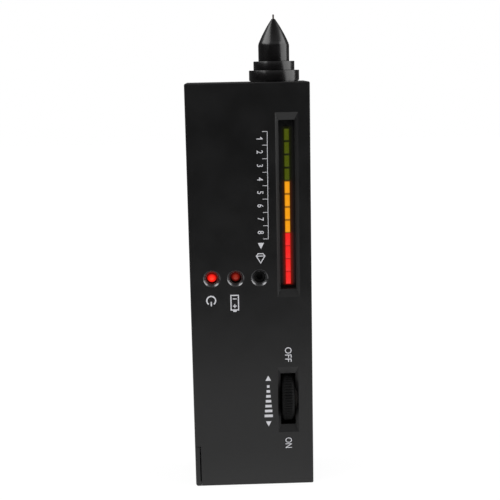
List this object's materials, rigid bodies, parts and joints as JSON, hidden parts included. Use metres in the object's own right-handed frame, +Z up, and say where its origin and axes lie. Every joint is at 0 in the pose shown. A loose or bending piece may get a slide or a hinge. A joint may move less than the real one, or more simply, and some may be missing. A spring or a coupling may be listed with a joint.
{
  "type": "diamond tester",
  "caption": "Pocket diamond tester with a heated probe point, a bar display, round lamps, a thumbwheel control and a sliding battery door.",
  "frame": {"origin": "middle of the bottom end face, which the tester stands on", "axes": "+Z up the length to the probe point, +X to the right of the front, -Y out of the front"},
  "size_m": [0.0374, 0.023, 0.146],
  "materials": {
    "case_black": "satin",
    "probe_black": "gloss",
    "wheel_black": "satin",
    "holder_black": "matte",
    "steel": "satin",
    "bright_metal": "polished",
    "jacket_grey": "gloss",
    "cell_metal": "satin",
    "foam_grey": "matte",
    "soft_black": "satin",
    "wire_red": "gloss",
    "wire_black": "gloss",
    "wire_white": "gloss",
    "board_green": "gloss",
    "bar_red": "gloss",
    "bar_amber": "gloss",
    "bar_green": "gloss",
    "lamp_red": "gloss",
    "lamp_dim": "gloss",
    "chip_black": "matte",
    "can_blue": "gloss",
    "trimmer_blue": "gloss",
    "resistor_tan": "satin",
    "housing_brown": "matte",
    "brass": "satin",
    "copper": "satin",
    "white_ceramic": "matte"
  },
  "bodies": {
    "case": {"front_shell": "case_black", "rear_shell": "case_black", "case_screws": "steel", "battery_jacket": "jacket_grey", "battery_cells": "cell_metal", "battery_terminals": "bright_metal", "snap_contacts": "bright_metal", "snap_connector": "soft_black", "battery_lead_black": "wire_black", "battery_lead_red": "wire_red", "main_board": "board_green", "board_screws": "steel", "led_holder": "holder_black", "ready_lamp": "lamp_red", "battery_lamp": "lamp_dim", "lamp_pins": "bright_metal", "sounder": "chip_black", "chips": "chip_black", "chip_legs": "bright_metal", "capacitors": "can_blue", "trimmer": "trimmer_blue", "resistors": "resistor_tan", "control_housing": "housing_brown", "control_terminals": "bright_metal", "control_leads": "wire_white", "probe_collar": "probe_black", "probe_ring": "probe_black", "probe_nose": "probe_black", "spring_seat": "white_ceramic", "probe_spring": "steel", "probe_leads": "wire_white", "led_red_1": "bar_red", "led_red_2": "bar_red", "led_red_3": "bar_red", "led_red_4": "bar_red", "led_amber_1": "bar_amber", "led_amber_2": "bar_amber", "led_amber_3": "bar_amber", "led_amber_4": "bar_amber", "led_green_1": "bar_green", "led_green_2": "bar_green", "led_green_3": "bar_green", "led_green_4": "bar_green"},
    "wheel": {"thumbwheel": "wheel_black", "wheel_screw": "steel", "control_rotor": "brass"},
    "door": {"battery_door": "case_black", "battery_pad": "foam_grey"},
    "point": {"probe_tip": "copper", "tip_heater": "white_ceramic"}
  },
  "joints": [
    {"name": "wheel_turn", "type": "hinge", "parent": "case", "child": "wheel", "pos_m": [0.011, -0.004, 0.0278], "axis": [1, 0, 0], "range_deg": [-60, 210]},
    {"name": "door_slide", "type": "slide", "parent": "case", "child": "door", "axis": [-1, 0, 0], "range_m": [0, 0.03]},
    {"name": "point_press", "type": "slide", "parent": "case", "child": "point", "axis": [0, 0, -1], "range_m": [0, 0.001], "stiffness_N_per_m": 500, "springref_m": -0.001, "deforming": ["probe_spring"]}
  ]
}
